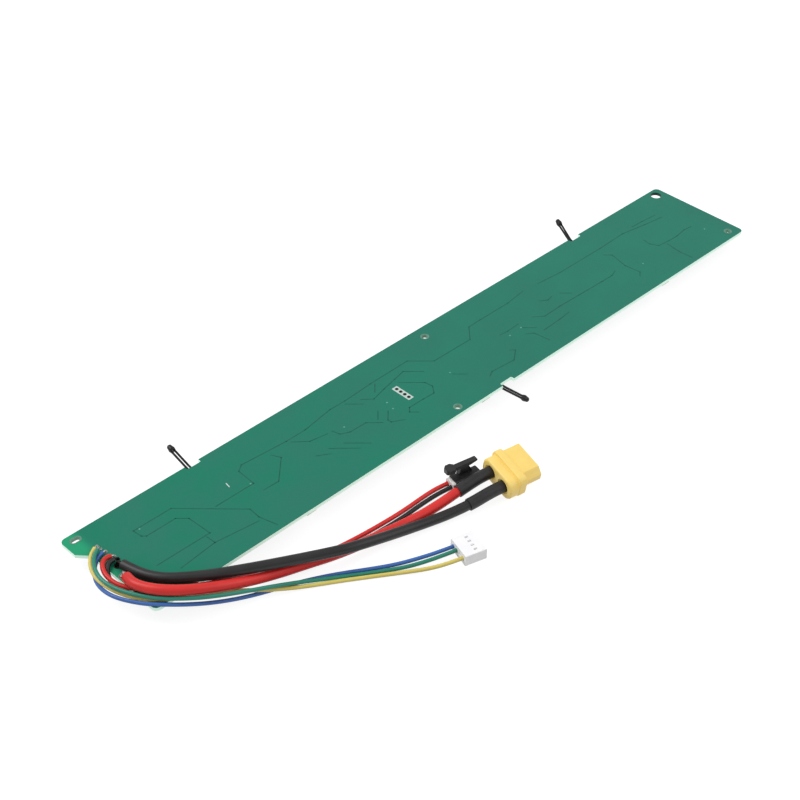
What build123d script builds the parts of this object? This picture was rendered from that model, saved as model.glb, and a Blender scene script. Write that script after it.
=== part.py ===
from build123d import *
import math
import os

# Battery management board with its leads and plugs, lying component side down.
# +X runs along the board to the end away from the leads, +Y to the far long edge, +Z up.
# The floor is z = 0, and the board stands on its four capacitors.

# Board
BOARD_LENGTH = 378.0
BOARD_WIDTH = 56.0
BOARD_THICKNESS = 1.6
CORNER_RADIUS = 2.5
RECESS_DEPTH = 4.5
TAB_WIDTH = 10.5
TAB_CHAMFER = 5.0
NOTCH_LENGTH = 7.4
NOTCH_DEPTH = 1.8
NOTCH_CORNER = 0.7
FAR_NOTCH_INSETS = (66.9, 66.5)
NEAR_NOTCH = 13.3

# Electrolytic capacitors, which are the feet
CAN_DIAMETER = 8.0
CAN_BASE = 8.3
CAN_BASE_HEIGHT = 1.2
CAPACITOR_HEIGHT = 8.0
LEAD_END_CAPACITORS = ((29.0, 16.5), (29.0, -17.0))
FAR_END_CAPACITORS = ((21.0, 16.5), (21.0, -15.0))

BOTTOM = CAPACITOR_HEIGHT
TOP = BOTTOM + BOARD_THICKNESS
HALF_LENGTH = BOARD_LENGTH / 2
HALF_WIDTH = BOARD_WIDTH / 2
LEAD_END = -HALF_LENGTH

# Holes and their lands
LAND_PROUD = 0.1
BARREL_WALL = 0.2
MOUNT_HOLE = 5.5
MOUNT_HOLE_INSET = (5.7, 4.4)
SMALL_HOLE = 3.0
SMALL_HOLE_LAND = 4.2
END_HOLE_INSET = (6.4, 5.0)
FAR_EDGE_HOLE = (10.4, 6.3)
NEAR_EDGE_HOLE = (-15.4, 3.8)
SLOT_LENGTH = 4.4
SLOT_WIDTH = 2.6
SLOT_LAND = 0.5
SLOT_INSET = (5.2, 3.8)
HEADER_PITCH = 2.54
HEADER_HOLE = 1.0
HEADER_LAND = 1.7
HEADER_PLACE = (163.1, -0.6)
HEADER_WAYS = 4

# Leads: insulation, tinned core, and the points that each follows, chosen by hand and
# measured along X from the board's lead end
POWER_LEAD = 4.4
POWER_CORE = 1.9
POWER_LAND = 3.6
CHARGE_LEAD = 2.0
CHARGE_CORE = 0.9
SIGNAL_LEAD = 1.7
SIGNAL_CORE = 0.7
THIN_LAND = 1.8
BARREL_FIT = 0.25
CORE_TAIL = 0.9
SOLDER_RISE = 0.6
SOLDER_SHARE = 0.8

POWER_NEGATIVE_ROUTE = [
    (9.2, -1.9, 11.9), (10.1, -7.1, 12.1), (12.0, -13.5, 12.3), (15.9, -19.7, 12.4),
    (22.7, -25.3, 12.3), (31.0, -30.9, 12.0), (40.7, -35.9, 11.3), (50.9, -40.7, 10.4),
    (61.1, -45.5, 9.7), (70.4, -50.4, 9.6), (79.5, -54.5, 9.2), (90.1, -56.6, 7.4),
    (102.1, -58.4, 4.9), (114.3, -60.8, 3.3), (125.6, -63.9, 3.0), (136.2, -67.0, 4.1),
]
POWER_POSITIVE_ROUTE = [
    (5.4, -9.6, 13.4), (4.3, -13.9, 14.5), (5.4, -19.2, 14.9), (9.1, -25.1, 15.0),
    (14.3, -30.0, 14.6), (20.9, -33.6, 13.1), (28.8, -36.4, 11.0), (37.7, -38.7, 8.4),
    (47.3, -41.0, 6.2), (57.0, -43.4, 4.9), (66.5, -46.3, 4.5), (75.8, -49.7, 4.5),
    (85.5, -52.0, 4.2), (96.4, -53.4, 3.4), (107.8, -54.8, 2.5), (119.4, -56.6, 2.5),
    (129.0, -58.1, 3.9), (138.8, -59.4, 5.9),
]
CHARGE_POSITIVE_ROUTE = [
    (9.0, 5.9, 11.0), (7.3, 6.0, 11.5), (4.9, 5.1, 11.9), (2.6, 2.6, 12.0),
    (1.1, -1.1, 11.8), (0.9, -5.1, 11.4), (1.8, -9.3, 11.1), (4.3, -13.5, 10.75),
    (7.9, -18.2, 10.8), (12.8, -22.6, 10.8), (18.6, -27.0, 10.8), (25.4, -30.5, 10.1),
    (34.8, -33.3, 7.8), (45.0, -36.0, 5.0), (55.8, -38.5, 2.6), (66.6, -41.2, 1.3),
    (77.8, -44.4, 1.1), (90.2, -46.4, 1.1), (103.6, -47.7, 1.1), (116.4, -48.6, 1.4),
    (127.4, -48.9, 2.2),
]
CHARGE_NEGATIVE_ROUTE = [
    (8.9, 3.7, 10.8), (7.2, 3.6, 11.1), (5.1, 2.5, 11.1), (3.4, 0.6, 10.3),
    (2.2, -1.9, 9.1), (1.6, -5.5, 8.6), (1.7, -9.8, 8.8), (2.5, -14.2, 9.6),
    (4.7, -18.4, 10.6), (8.4, -22.5, 10.8), (12.9, -26.2, 10.8), (18.6, -29.6, 10.4),
    (26.0, -32.8, 8.9), (34.4, -35.7, 6.4), (43.6, -38.4, 3.9), (53.6, -41.0, 1.9),
    (63.7, -43.9, 1.2), (74.1, -46.6, 1.1), (85.8, -48.7, 1.1), (98.9, -50.2, 1.1),
    (112.1, -51.2, 1.3), (124.4, -51.3, 1.9),
]
YELLOW_ROUTE = [
    (7.2, 14.0, 10.8), (4.8, 12.4, 11.2), (2.2, 10.0, 11.2), (-0.2, 6.5, 11.1),
    (-1.8, 2.4, 11.0), (-2.3, -2.3, 10.8), (-1.7, -7.7, 10.7), (-0.1, -13.2, 10.6),
    (2.5, -18.8, 10.6), (6.6, -24.1, 10.6), (12.1, -28.6, 10.55), (19.7, -32.3, 9.4),
    (28.2, -35.7, 7.5), (36.7, -39.5, 5.4), (44.6, -44.4, 3.6), (53.1, -49.4, 2.0),
    (62.2, -54.4, 1.1), (71.6, -60.0, 0.9), (82.1, -67.0, 0.9), (92.2, -73.9, 1.0),
    (99.0, -79.4, 1.9),
]
GREEN_ROUTE = [
    (7.1, 11.7, 11.8), (4.6, 9.9, 12.6), (1.8, 6.9, 12.8), (-0.4, 3.3, 12.8),
    (-1.9, -1.2, 12.7), (-2.0, -6.0, 12.7), (-1.0, -11.0, 12.6), (1.1, -16.0, 12.6),
    (3.9, -21.3, 12.6), (7.9, -26.9, 12.6), (13.2, -32.0, 12.4), (20.3, -36.6, 11.2),
    (29.0, -40.2, 9.2), (38.3, -43.2, 6.9), (47.9, -46.6, 5.0), (57.4, -50.5, 3.2),
    (67.0, -55.0, 1.5), (76.3, -60.6, 0.9), (85.3, -66.6, 0.9), (93.8, -72.0, 1.1),
    (100.6, -75.8, 2.0),
]
BLUE_ROUTE = [
    (8.2, 10.1, 10.6), (6.0, 9.6, 10.7), (3.8, 8.3, 10.4), (1.8, 6.7, 9.4),
    (-0.1, 4.6, 8.7), (-2.0, 1.2, 8.6), (-3.3, -3.6, 9.2), (-3.5, -9.1, 10.1),
    (-2.4, -14.0, 10.6), (0.1, -18.9, 10.6), (3.6, -24.1, 10.6), (8.6, -29.3, 10.5),
    (15.4, -33.9, 9.0), (23.5, -37.5, 6.6), (32.9, -40.3, 3.8), (42.8, -42.8, 1.5),
    (52.8, -46.1, 0.9), (63.3, -50.8, 0.9), (73.6, -56.5, 0.9), (83.8, -63.1, 0.9),
    (92.6, -68.5, 1.1), (101.0, -73.0, 2.0),
]

# Power plug: a two-pole housing with a collar and a rear hood, which hangs a little low
# and rests on its near bottom edge
POWER_PLUG_REAR = (153.8, -65.7)
POWER_PLUG_HEADING = -10.4
POWER_PLUG_ROLL = 10.0
HOOD_WIDTH = 20.2
HOOD_HEIGHT = 10.2
HOOD_CORNER = 4.2
HOOD_LENGTH = 4.6
HOOD_EDGE = 1.0
HOOD_DROP = 0.9
COLLAR_WIDTH = 20.6
COLLAR_HEIGHT = 11.0
COLLAR_CORNER = 3.0
COLLAR_LENGTH = 3.6
COLLAR_EDGE = 0.5
INSERT_EDGE = 0.4
WELL_DIAMETER = 6.8
WELL_DEPTH = 4.0
POLE_PITCH = 8.8
INSERT_WIDTH = 17.0
INSERT_HEIGHT = 8.4
INSERT_CHAMFER = 2.8
INSERT_LENGTH = 9.0
SPIGOT_WIDTH = 15.6
SPIGOT_HEIGHT = 6.4
SPIGOT_FIT = 0.1
CONTACT_DIAMETER = 4.6
CONTACT_BORE = 3.5
CONTACT_BORE_DEPTH = 9.0
CONTACT_SETBACK = 0.5
POWER_STRAIGHT = 5.5

# Shrink sleeves over the power leads
SLEEVE_WALL = 0.45
SLEEVE_FIT = 0.05
SLEEVE_LENGTH = 21.5

# Latch plug: a two-pole housing with a lever, and a pale seal where its leads go in
LATCH_PLUG_REAR = (141.6, -52.2)
LATCH_PLUG_HEADING = -12.0
LATCH_LENGTH = 13.0
LATCH_WIDTH = 6.2
LATCH_HEIGHT = 5.2
LATCH_CORNER = 1.2
LATCH_WIRE_HEIGHT = 2.6
LATCH_STRAIGHT = 6.5
LATCH_PITCH = 2.8
SEAL_LENGTH = 1.6
SEAL_WIDTH = 5.6
SEAL_HEIGHT = 4.4
SEAL_FIT = 0.1
LEVER_START = -2.6
LEVER_END = 12.8
LEVER_WIDTH = 2.4
LEVER_THICKNESS = 1.7
LEVER_RISE = 3.3
LEVER_OFFSET = 1.8
LEVER_KNOB = (4.6, 4.6, 2.3)
LEVER_POST_FOOT = (3.6, 10.2)
LEVER_POST_HEAD = (4.4, 8.6)
LEVER_TAPER = 3.4
LATCH_SOCKET = 1.2
LATCH_SOCKET_DEPTH = 5.0

# Signal plug: four ways, of which the third is empty
SIGNAL_PLUG_REAR = (113.9, -81.9)
SIGNAL_PLUG_HEADING = -16.5
SIGNAL_PLUG_LENGTH = 9.8
SIGNAL_PLUG_WIDTH = 12.2
SIGNAL_PLUG_HEIGHT = 5.3
SIGNAL_PITCH = 2.5
SIGNAL_WAYS = 4
SIGNAL_FILLED = (True, True, False, True)
SIGNAL_BORE_FIT = 0.15
SIGNAL_ENTRY = 1.5
SIGNAL_STRAIGHT = 7.0
CAVITY = 1.5
WINDOW_START = 5.0
WINDOW_LENGTH = 1.6
WINDOW_WIDTH = 1.0
RIB_LENGTH = 7.0
RIB_HEIGHT = 0.7
RIB_WIDTH = 1.2

# Temperature sensors: two wires and a bead each
SENSOR_WIRE = 1.0
SENSOR_PITCH = 1.5
SENSOR_REACH = 42.0
SENSOR_TAIL = 5.0
BEAD_LENGTH = 3.6
BEAD_REAR = 2.6
BEAD_WIDTH = 3.0
BEAD_NOSE = 1.9
SENSOR_JOINT_LENGTH = 2.4
SENSOR_JOINT_HEIGHT = 0.9
SENSOR_JOINT_WIDTH = 3.4
LEAD_END_SENSOR = (65.6, 65.8, 11.5, 1.5)
FAR_END_SENSOR = (68.0, 63.1, 12.0, 1.05)
NEAR_SENSOR = (10.8, 11.2, 8.4, 1.5)

# Nickel tabs for the cells
CELL_TAB_LENGTH = 7.0
CELL_TAB_WIDTH = 5.0
CELL_TAB_THICKNESS = 0.3
CELL_TAB_PROUD = 0.3
NEAR_TABS_FROM_LEAD_END = (84.0, 187.5)
NEAR_TABS_FROM_FAR_END = (63.2,)
FAR_TABS_FROM_LEAD_END = (44.0, 94.0, 127.0, 160.0)
FAR_TABS_FROM_FAR_END = (151.0, 119.0, 89.0, 39.0)

# Each lead: name, route, insulation, core, land, how far its hole is behind its end,
# and its plug with the place of its pole across the plug
LEADS = (
    ("power_lead_negative", POWER_NEGATIVE_ROUTE, POWER_LEAD, POWER_CORE, POWER_LAND, 2.8,
     "power", -POLE_PITCH / 2),
    ("power_lead_positive", POWER_POSITIVE_ROUTE, POWER_LEAD, POWER_CORE, POWER_LAND, 4.8,
     "power", POLE_PITCH / 2),
    ("charge_lead_positive", CHARGE_POSITIVE_ROUTE, CHARGE_LEAD, CHARGE_CORE, THIN_LAND, 1.6,
     "latch", LATCH_PITCH / 2),
    ("charge_lead_negative", CHARGE_NEGATIVE_ROUTE, CHARGE_LEAD, CHARGE_CORE, THIN_LAND, 2.0,
     "latch", -LATCH_PITCH / 2),
    ("signal_lead_yellow", YELLOW_ROUTE, SIGNAL_LEAD, SIGNAL_CORE, THIN_LAND, 2.2,
     "signal", -1.5 * SIGNAL_PITCH),
    ("signal_lead_green", GREEN_ROUTE, SIGNAL_LEAD, SIGNAL_CORE, THIN_LAND, 2.6,
     "signal", 0.5 * SIGNAL_PITCH),
    ("signal_lead_blue", BLUE_ROUTE, SIGNAL_LEAD, SIGNAL_CORE, THIN_LAND, 1.6,
     "signal", 1.5 * SIGNAL_PITCH),
)

# Parts on the underside. Those up to the status lamps are measured from the lead end, and
# the monitor and the rows of small parts from the far end.
SWITCH_BODY = (6.1, 6.6, 2.3)
SWITCH_TAB = (1.0, 5.2, 0.6)
SWITCH_LEAD = (2.0, 0.8, 0.5)
SWITCH_LEAD_PITCH = 2.28
SWITCH_COLUMNS = (51.0, 65.0, 79.0, 93.0)
SWITCH_ROWS = (-9.0, 9.0)
LARGE_CHIP_RESISTOR = (6.4, 3.2, 0.6)
SHUNT_PLACES = ((111.0, -8.0), (111.0, 0.0), (111.0, 8.0))
MONITOR_BODY = (12.5, 6.1, 1.1)
MONITOR_PLACE = (149.0, 6.0)
MONITOR_PIN_COUNT = 19
MONITOR_PIN_PITCH = 0.64
CONTROLLER_BODY = (7.0, 7.0, 1.2)
CONTROLLER_PLACE = (143.0, 5.0)
CONTROLLER_PIN_COUNT = 8
CONTROLLER_PIN_PITCH = 0.8
PIN_WIDTH = 0.3
PIN_REACH = 1.0
PIN_THICKNESS = 0.16
BALANCE_COUNT = 10
BALANCE_PITCH = 11.0
BALANCE_START = 139.0
BALANCE_RESISTOR_ROW = -18.0
BALANCE_TRANSISTOR_ROW = -11.0
BALANCE_TRANSISTOR = (2.9, 1.3, 1.0)
CHIP_RESISTOR = (1.6, 0.8, 0.45)
CHIP_RESISTOR_ROW = -5.5
CHIP_CAPACITOR = (2.0, 1.25, 0.9)
CHIP_CAPACITOR_ROW = 16.0
SURGE_DIODE = (4.6, 3.9, 2.3)
SURGE_DIODE_PLACES = ((39.0, -4.0), (39.0, 4.0), (125.0, -14.0))
REGULATOR_BODY = (6.5, 3.5, 1.6)
REGULATOR_PLACE = (127.0, 12.0)
REGULATOR_PIN_COUNT = 3
REGULATOR_PIN_PITCH = 2.3
REGULATOR_PIN_WIDTH = 0.7
FUSE_LENGTH = 10.0
FUSE_SECTION = 3.0
FUSE_CAP = 1.8
FUSE_PLACE = (43.0, -15.0)
INDUCTOR = (7.0, 7.0, 4.0)
INDUCTOR_CORNER = 1.2
INDUCTOR_PLACE = (144.0, -14.0)
CRYSTAL = (5.0, 3.2, 1.1)
CRYSTAL_PLACE = (155.0, 12.0)
STATUS_LAMP = (1.6, 0.8, 0.7)
STATUS_LAMP_PLACES = ((189.0, 14.0), (193.0, 14.0), (197.0, 14.0), (201.0, 14.0))

NODES = {}


def from_lead_end(place):
    """A place whose first number is its distance from the lead end."""
    return (LEAD_END + place[0], place[1])


def from_far_end(place):
    """A place whose first number is its distance from the far end."""
    return (HALF_LENGTH - place[0], place[1])


MOUNT_HOLE_PLACE = (HALF_LENGTH - MOUNT_HOLE_INSET[0], HALF_WIDTH - MOUNT_HOLE_INSET[1])
SMALL_HOLE_PLACES = (
    (HALF_LENGTH - END_HOLE_INSET[0], -HALF_WIDTH + END_HOLE_INSET[1]),
    (FAR_EDGE_HOLE[0], HALF_WIDTH - FAR_EDGE_HOLE[1]),
    (NEAR_EDGE_HOLE[0], -HALF_WIDTH + NEAR_EDGE_HOLE[1]),
)
SLOT_PLACE = (LEAD_END + SLOT_INSET[0], HALF_WIDTH - SLOT_INSET[1])
FAR_NOTCHES = (LEAD_END + FAR_NOTCH_INSETS[0], HALF_LENGTH - FAR_NOTCH_INSETS[1])


def keep(name, shapes):
    """Store the solids of one named piece."""
    if not isinstance(shapes, (list, tuple)):
        shapes = [shapes]
    solids = [solid for shape in shapes for solid in shape.solids()]
    NODES[name] = Compound(children=solids) if len(solids) > 1 else solids[0]


def drum(radius, low, high, place=(0, 0)):
    """An upright cylinder between two heights."""
    return Pos(place[0], place[1], low) * Cylinder(
        radius, high - low, align=(Align.CENTER, Align.CENTER, Align.MIN))


def hung_block(size, place, drop=0.0):
    """A block seated against the underside of the board, or that far below it."""
    low = BOTTOM - drop - size[2]
    return Pos(place[0], place[1], low) * Box(
        *size, align=(Align.CENTER, Align.CENTER, Align.MIN))


# Board

def board_face():
    """The outline with its stepped left end and rounded corners."""
    recess = -HALF_LENGTH + RECESS_DEPTH
    points = [
        (-HALF_LENGTH, HALF_WIDTH), (HALF_LENGTH, HALF_WIDTH), (HALF_LENGTH, -HALF_WIDTH),
        (recess, -HALF_WIDTH), (recess, HALF_WIDTH - TAB_WIDTH - TAB_CHAMFER),
        (-HALF_LENGTH, HALF_WIDTH - TAB_WIDTH),
    ]
    face = make_face(Polyline(*points, close=True))
    outer = [corner for corner in face.vertices() if abs(abs(corner.Y) - HALF_WIDTH) < 0.01]
    return fillet(outer, CORNER_RADIUS)


def notch(x, side):
    """A shallow cut in a long edge, where a sensor's wires pass."""
    size = RectangleRounded(NOTCH_LENGTH, 2 * NOTCH_DEPTH, NOTCH_CORNER)
    return Pos(x, side * HALF_WIDTH) * size


def at_lead_end(route):
    """A route's points in the part's frame."""
    return [(x + LEAD_END, y, z) for x, y, z in route]


def core_bend(route, reach):
    """The point over a lead's hole where its core bends down."""
    start = Vector(*route[0])
    return start - (Vector(*route[1]) - start).normalized() * reach


def lead_holes():
    """Place, land and core diameter of each lead's hole."""
    bends = [(core_bend(at_lead_end(row[1]), row[5]), row[4], row[3]) for row in LEADS]
    return [((bend.X, bend.Y), land, core) for bend, land, core in bends]


def lead_barrel(core):
    """Inner radius of the plated barrel round a lead's core."""
    return core / 2 + BARREL_FIT


def header_places():
    middle = (HEADER_WAYS - 1) / 2
    x, y = from_lead_end(HEADER_PLACE)
    return [(x, y + (index - middle) * HEADER_PITCH)
            for index in range(HEADER_WAYS)]


def board():
    face = board_face()
    for x in FAR_NOTCHES:
        face -= notch(x, 1)
    face -= notch(NEAR_NOTCH, -1)
    face -= Pos(*MOUNT_HOLE_PLACE) * Circle(MOUNT_HOLE / 2)
    for place in SMALL_HOLE_PLACES:
        face -= Pos(*place) * Circle(SMALL_HOLE / 2 + BARREL_WALL)
    face -= Pos(*SLOT_PLACE) * slot_face(BARREL_WALL)
    for place in header_places():
        face -= Pos(*place) * Circle(HEADER_HOLE / 2 + BARREL_WALL)
    for place, land, core in lead_holes():
        face -= Pos(*place) * Circle(lead_barrel(core) + BARREL_WALL)
    keep("circuit_board", Pos(0, 0, BOTTOM) * extrude(face, BOARD_THICKNESS))


def slot_face(margin):
    return SlotOverall(SLOT_LENGTH + 2 * margin, SLOT_WIDTH + 2 * margin)


def eyelet(place, bore, land):
    """A plated barrel with a ring on each face of the board."""
    barrel = drum(bore + BARREL_WALL, BOTTOM, TOP)
    rings = drum(land, BOTTOM - LAND_PROUD, BOTTOM) + drum(land, TOP, TOP + LAND_PROUD)
    inside = drum(bore, BOTTOM - 1, TOP + 1)
    return Pos(place[0], place[1]) * (barrel + rings - inside)


def slot_eyelet():
    barrel = Pos(0, 0, BOTTOM) * extrude(slot_face(BARREL_WALL), BOARD_THICKNESS)
    ring = extrude(slot_face(SLOT_LAND), LAND_PROUD)
    rings = Pos(0, 0, BOTTOM - LAND_PROUD) * ring + Pos(0, 0, TOP) * ring
    inside = Pos(0, 0, BOTTOM - 1) * extrude(slot_face(0), BOARD_THICKNESS + 2)
    return Pos(*SLOT_PLACE) * (barrel + rings - inside)


def lands():
    holes = [eyelet(place, SMALL_HOLE / 2, SMALL_HOLE_LAND / 2) for place in SMALL_HOLE_PLACES]
    keep("plated_hole_lands", holes)
    keep("slot_land", slot_eyelet())
    keep("header_lands", [eyelet(place, HEADER_HOLE / 2, HEADER_LAND / 2) for place in header_places()])
    keep("lead_hole_lands", [eyelet(place, lead_barrel(core), land / 2)
                             for place, land, core in lead_holes()])


def solder_joint(place, land, core, wire):
    """Solder that fills the barrel and rises round the core on both faces."""
    low, high = BOTTOM - LAND_PROUD, TOP + LAND_PROUD
    cone = Cone(land / 2 * SOLDER_SHARE, core / 2 + 0.1, SOLDER_RISE,
                align=(Align.CENTER, Align.CENTER, Align.MIN))
    joint = drum(lead_barrel(core), low, high) + Pos(0, 0, high) * cone
    joint += Pos(0, 0, low) * Rot(180, 0, 0) * cone
    return Pos(place[0], place[1]) * joint - wire


# Leads

def corner_radii(points):
    """Each corner's arc takes 0.45 of the shorter of its two runs."""
    radii = []
    for before, here, after in zip(points, points[1:], points[2:]):
        into, out = Vector(*here) - Vector(*before), Vector(*after) - Vector(*here)
        half_turn = math.radians(into.get_angle(out)) / 2
        radii.append(0.45 * min(into.length, out.length) / math.tan(half_turn))
    return radii


def route_line(points):
    return FilletPolyline(*points, radius=corner_radii(points))


def tube(line, radius):
    """A round bar swept along a line of runs and arcs."""
    start = Plane(origin=line @ 0, z_dir=line % 0)
    return sweep(start * Circle(radius), path=line)


def lead(name, points, diameter):
    line = route_line(points)
    solid = tube(line, diameter / 2)
    keep(name, solid)
    section = math.pi * diameter ** 2 / 4
    radii = ", ".join(f"{radius:.1f}" for radius in corner_radii(points))
    print(f"{name}: length {line.length:.1f}, volume over section x length "
          f"{solid.volume / section / line.length:.4f}, radii {radii}")
    print("  last points", [tuple(round(value, 2) for value in point) for point in points[-2:]])


def core_wire(route, core, reach):
    """A tinned core that comes up through its hole and bends into the lead's end."""
    bend = core_bend(route, reach)
    low = BOTTOM - LAND_PROUD - SOLDER_RISE - CORE_TAIL
    return tube(route_line([(bend.X, bend.Y, low), tuple(bend), route[0]]), core / 2)


def plug_places():
    """Each plug's place, with the height and reach of a lead's end in it and its straight run."""
    return {
        "power": (power_plug_place(), -HOOD_DROP, WELL_DEPTH, POWER_STRAIGHT),
        "latch": (latch_plug_place(), LATCH_WIRE_HEIGHT, 0, LATCH_STRAIGHT),
        "signal": (signal_plug_place(), 0, SIGNAL_ENTRY, SIGNAL_STRAIGHT),
    }


def whole_route(route, plug, pole):
    """A lead's points, with a last run that goes straight into its plug."""
    place, height, reach, straight = plug_places()[plug]
    ends = [(place * Pos(x, pole, height)).position for x in (-straight, reach)]
    return route + [tuple(end) for end in ends]


def sleeve(name, points):
    """A shrink sleeve that follows the last stretch of a power lead into its well."""
    whole = route_line(points)
    line = whole.trim(1 - SLEEVE_LENGTH / whole.length, 1)
    inner = POWER_LEAD / 2 + SLEEVE_FIT
    keep(name, tube(line, inner + SLEEVE_WALL) - tube(line, inner))


def leads():
    wires = []
    for name, route, insulation, core, _, reach, plug, pole in LEADS:
        points = whole_route(at_lead_end(route), plug, pole)
        lead(name, points, insulation)
        wires.append(core_wire(points, core, reach))
        if plug == "power":
            sleeve(name.replace("lead", "sleeve"), points)
    keep("power_lead_cores", wires[:2])
    keep("charge_lead_cores", wires[2:4])
    keep("signal_lead_cores", wires[4:])
    keep("lead_solder_joints", [solder_joint(*hole, wire) for hole, wire in zip(lead_holes(), wires)])


# Power plug, built with its rear face at x = 0 and its axis along +X

def along_x(face, start, length):
    """A section drawn in Y and Z, extruded along +X."""
    return Pos(start, 0, 0) * extrude(Plane.YZ * face, length)


def bar_x(radius, start, length, y=0.0, z=0.0):
    return along_x(Pos(y, z) * Circle(radius), start, length)


def power_plug_place():
    roll = math.radians(POWER_PLUG_ROLL)
    height = ((HOOD_DROP + HOOD_HEIGHT / 2 - HOOD_CORNER) * math.cos(roll)
              + (HOOD_WIDTH / 2 - HOOD_CORNER) * math.sin(roll) + HOOD_CORNER)
    return (Pos(LEAD_END + POWER_PLUG_REAR[0], POWER_PLUG_REAR[1], height)
            * Rot(0, 0, POWER_PLUG_HEADING) * Rot(POWER_PLUG_ROLL, 0, 0))


def insert_face(margin):
    """The keyed section, with two cut corners on the negative side."""
    half_w, half_h = INSERT_WIDTH / 2 + margin, INSERT_HEIGHT / 2 + margin
    cut = INSERT_CHAMFER
    points = [(half_w, half_h), (half_w, -half_h), (-half_w + cut, -half_h), (-half_w, -half_h + cut),
              (-half_w, half_h - cut), (-half_w + cut, half_h)]
    return make_face(Polyline(*points, close=True))


def spigot_face(margin):
    """The rear of the housing, which the hood and the collar close over."""
    return Rectangle(SPIGOT_WIDTH + 2 * margin, SPIGOT_HEIGHT + 2 * margin)


def power_plug():
    place = power_plug_place()
    poles = (-POLE_PITCH / 2, POLE_PITCH / 2)
    seat, front = WELL_DEPTH, HOOD_LENGTH + COLLAR_LENGTH
    cap = along_x(Pos(0, -HOOD_DROP) * RectangleRounded(HOOD_WIDTH, HOOD_HEIGHT, HOOD_CORNER),
                  0, HOOD_LENGTH)
    cap = fillet(cap.edges().group_by(Axis.X)[0], HOOD_EDGE)
    collar = along_x(RectangleRounded(COLLAR_WIDTH, COLLAR_HEIGHT, COLLAR_CORNER),
                     HOOD_LENGTH, COLLAR_LENGTH)
    collar = fillet(collar.edges().group_by(Axis.X)[0] + collar.edges().group_by(Axis.X)[-1], COLLAR_EDGE)
    hood = cap + collar
    for pole in poles:
        hood -= bar_x(WELL_DIAMETER / 2, -1, seat + 1, pole, -HOOD_DROP)
    hood -= along_x(spigot_face(SPIGOT_FIT), seat, front)
    keep("power_plug_hood", place * hood)
    insert = along_x(insert_face(0), front, INSERT_LENGTH)
    insert = fillet(insert.edges().filter_by(Axis.X) + insert.edges().group_by(Axis.X)[-1], INSERT_EDGE)
    housing = along_x(spigot_face(0), seat, front - seat) + insert
    contacts = []
    contact_length = front + INSERT_LENGTH - CONTACT_SETBACK - seat
    bore_start = seat + contact_length - CONTACT_BORE_DEPTH
    for pole in poles:
        housing -= bar_x(CONTACT_DIAMETER / 2, seat - 1, front + INSERT_LENGTH, pole)
        contacts.append(place * (bar_x(CONTACT_DIAMETER / 2, seat, contact_length, pole)
                                 - bar_x(CONTACT_BORE / 2, bore_start, CONTACT_BORE_DEPTH + 1, pole)))
    keep("power_plug_housing", place * housing)
    keep("power_plug_contacts", contacts)


# Latch plug

def latch_plug_place():
    return Pos(LEAD_END + LATCH_PLUG_REAR[0], LATCH_PLUG_REAR[1], 0) * Rot(0, 0, LATCH_PLUG_HEADING)


def latch_plug():
    place = latch_plug_place()
    poles = (-LATCH_PITCH / 2, LATCH_PITCH / 2)
    body = along_x(Pos(0, LATCH_HEIGHT / 2) * RectangleRounded(LATCH_WIDTH, LATCH_HEIGHT, LATCH_CORNER),
                   0, LATCH_LENGTH)
    low, middle = LATCH_HEIGHT + LEVER_RISE, LEVER_THICKNESS / 2
    side = Polyline((LEVER_POST_FOOT[0], LATCH_HEIGHT - 0.5), (LEVER_POST_FOOT[1], LATCH_HEIGHT - 0.5),
                    (LEVER_POST_FOOT[1], LATCH_HEIGHT), (LEVER_POST_HEAD[1], low),
                    (LEVER_END - LEVER_TAPER, low), (LEVER_END, low + middle),
                    (LEVER_END, low + LEVER_THICKNESS), (LEVER_START, low + LEVER_THICKNESS),
                    (LEVER_START, low), (LEVER_POST_HEAD[0], low), (LEVER_POST_FOOT[0], LATCH_HEIGHT),
                    close=True)
    lever = Pos(0, LEVER_OFFSET + LEVER_WIDTH / 2, 0) * extrude(Plane.XZ * make_face(side), LEVER_WIDTH)
    knob = Pos(LEVER_START + LEVER_KNOB[0] / 2, LEVER_OFFSET, low + middle) * Box(*LEVER_KNOB)
    knob = chamfer(knob.edges().filter_by(Axis.Z), 1.2)
    housing = body + lever + knob
    contacts = []
    for pole in poles:
        housing -= bar_x(LATCH_SOCKET, LATCH_LENGTH - LATCH_SOCKET_DEPTH, LATCH_SOCKET_DEPTH + 1,
                         pole * 1.1, LATCH_HEIGHT / 2)
        contacts.append(place * bar_x(LATCH_SOCKET / 2, LATCH_LENGTH - LATCH_SOCKET_DEPTH,
                                      LATCH_SOCKET_DEPTH - 1, pole * 1.1, LATCH_HEIGHT / 2))
    keep("latch_plug_housing", place * housing)
    keep("latch_plug_contacts", contacts)
    seal = along_x(Pos(0, LATCH_WIRE_HEIGHT) * RectangleRounded(SEAL_WIDTH, SEAL_HEIGHT, 0.7),
                   -SEAL_LENGTH, SEAL_LENGTH)
    for pole in poles:
        seal -= bar_x(CHARGE_LEAD / 2 + SEAL_FIT, -SEAL_LENGTH - 1, SEAL_LENGTH + 2, pole,
                      LATCH_WIRE_HEIGHT)
    keep("latch_plug_seal", place * seal)


# Signal plug

def signal_plug_place():
    return (Pos(LEAD_END + SIGNAL_PLUG_REAR[0], SIGNAL_PLUG_REAR[1], SIGNAL_PLUG_HEIGHT / 2)
            * Rot(0, 0, SIGNAL_PLUG_HEADING))


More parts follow.
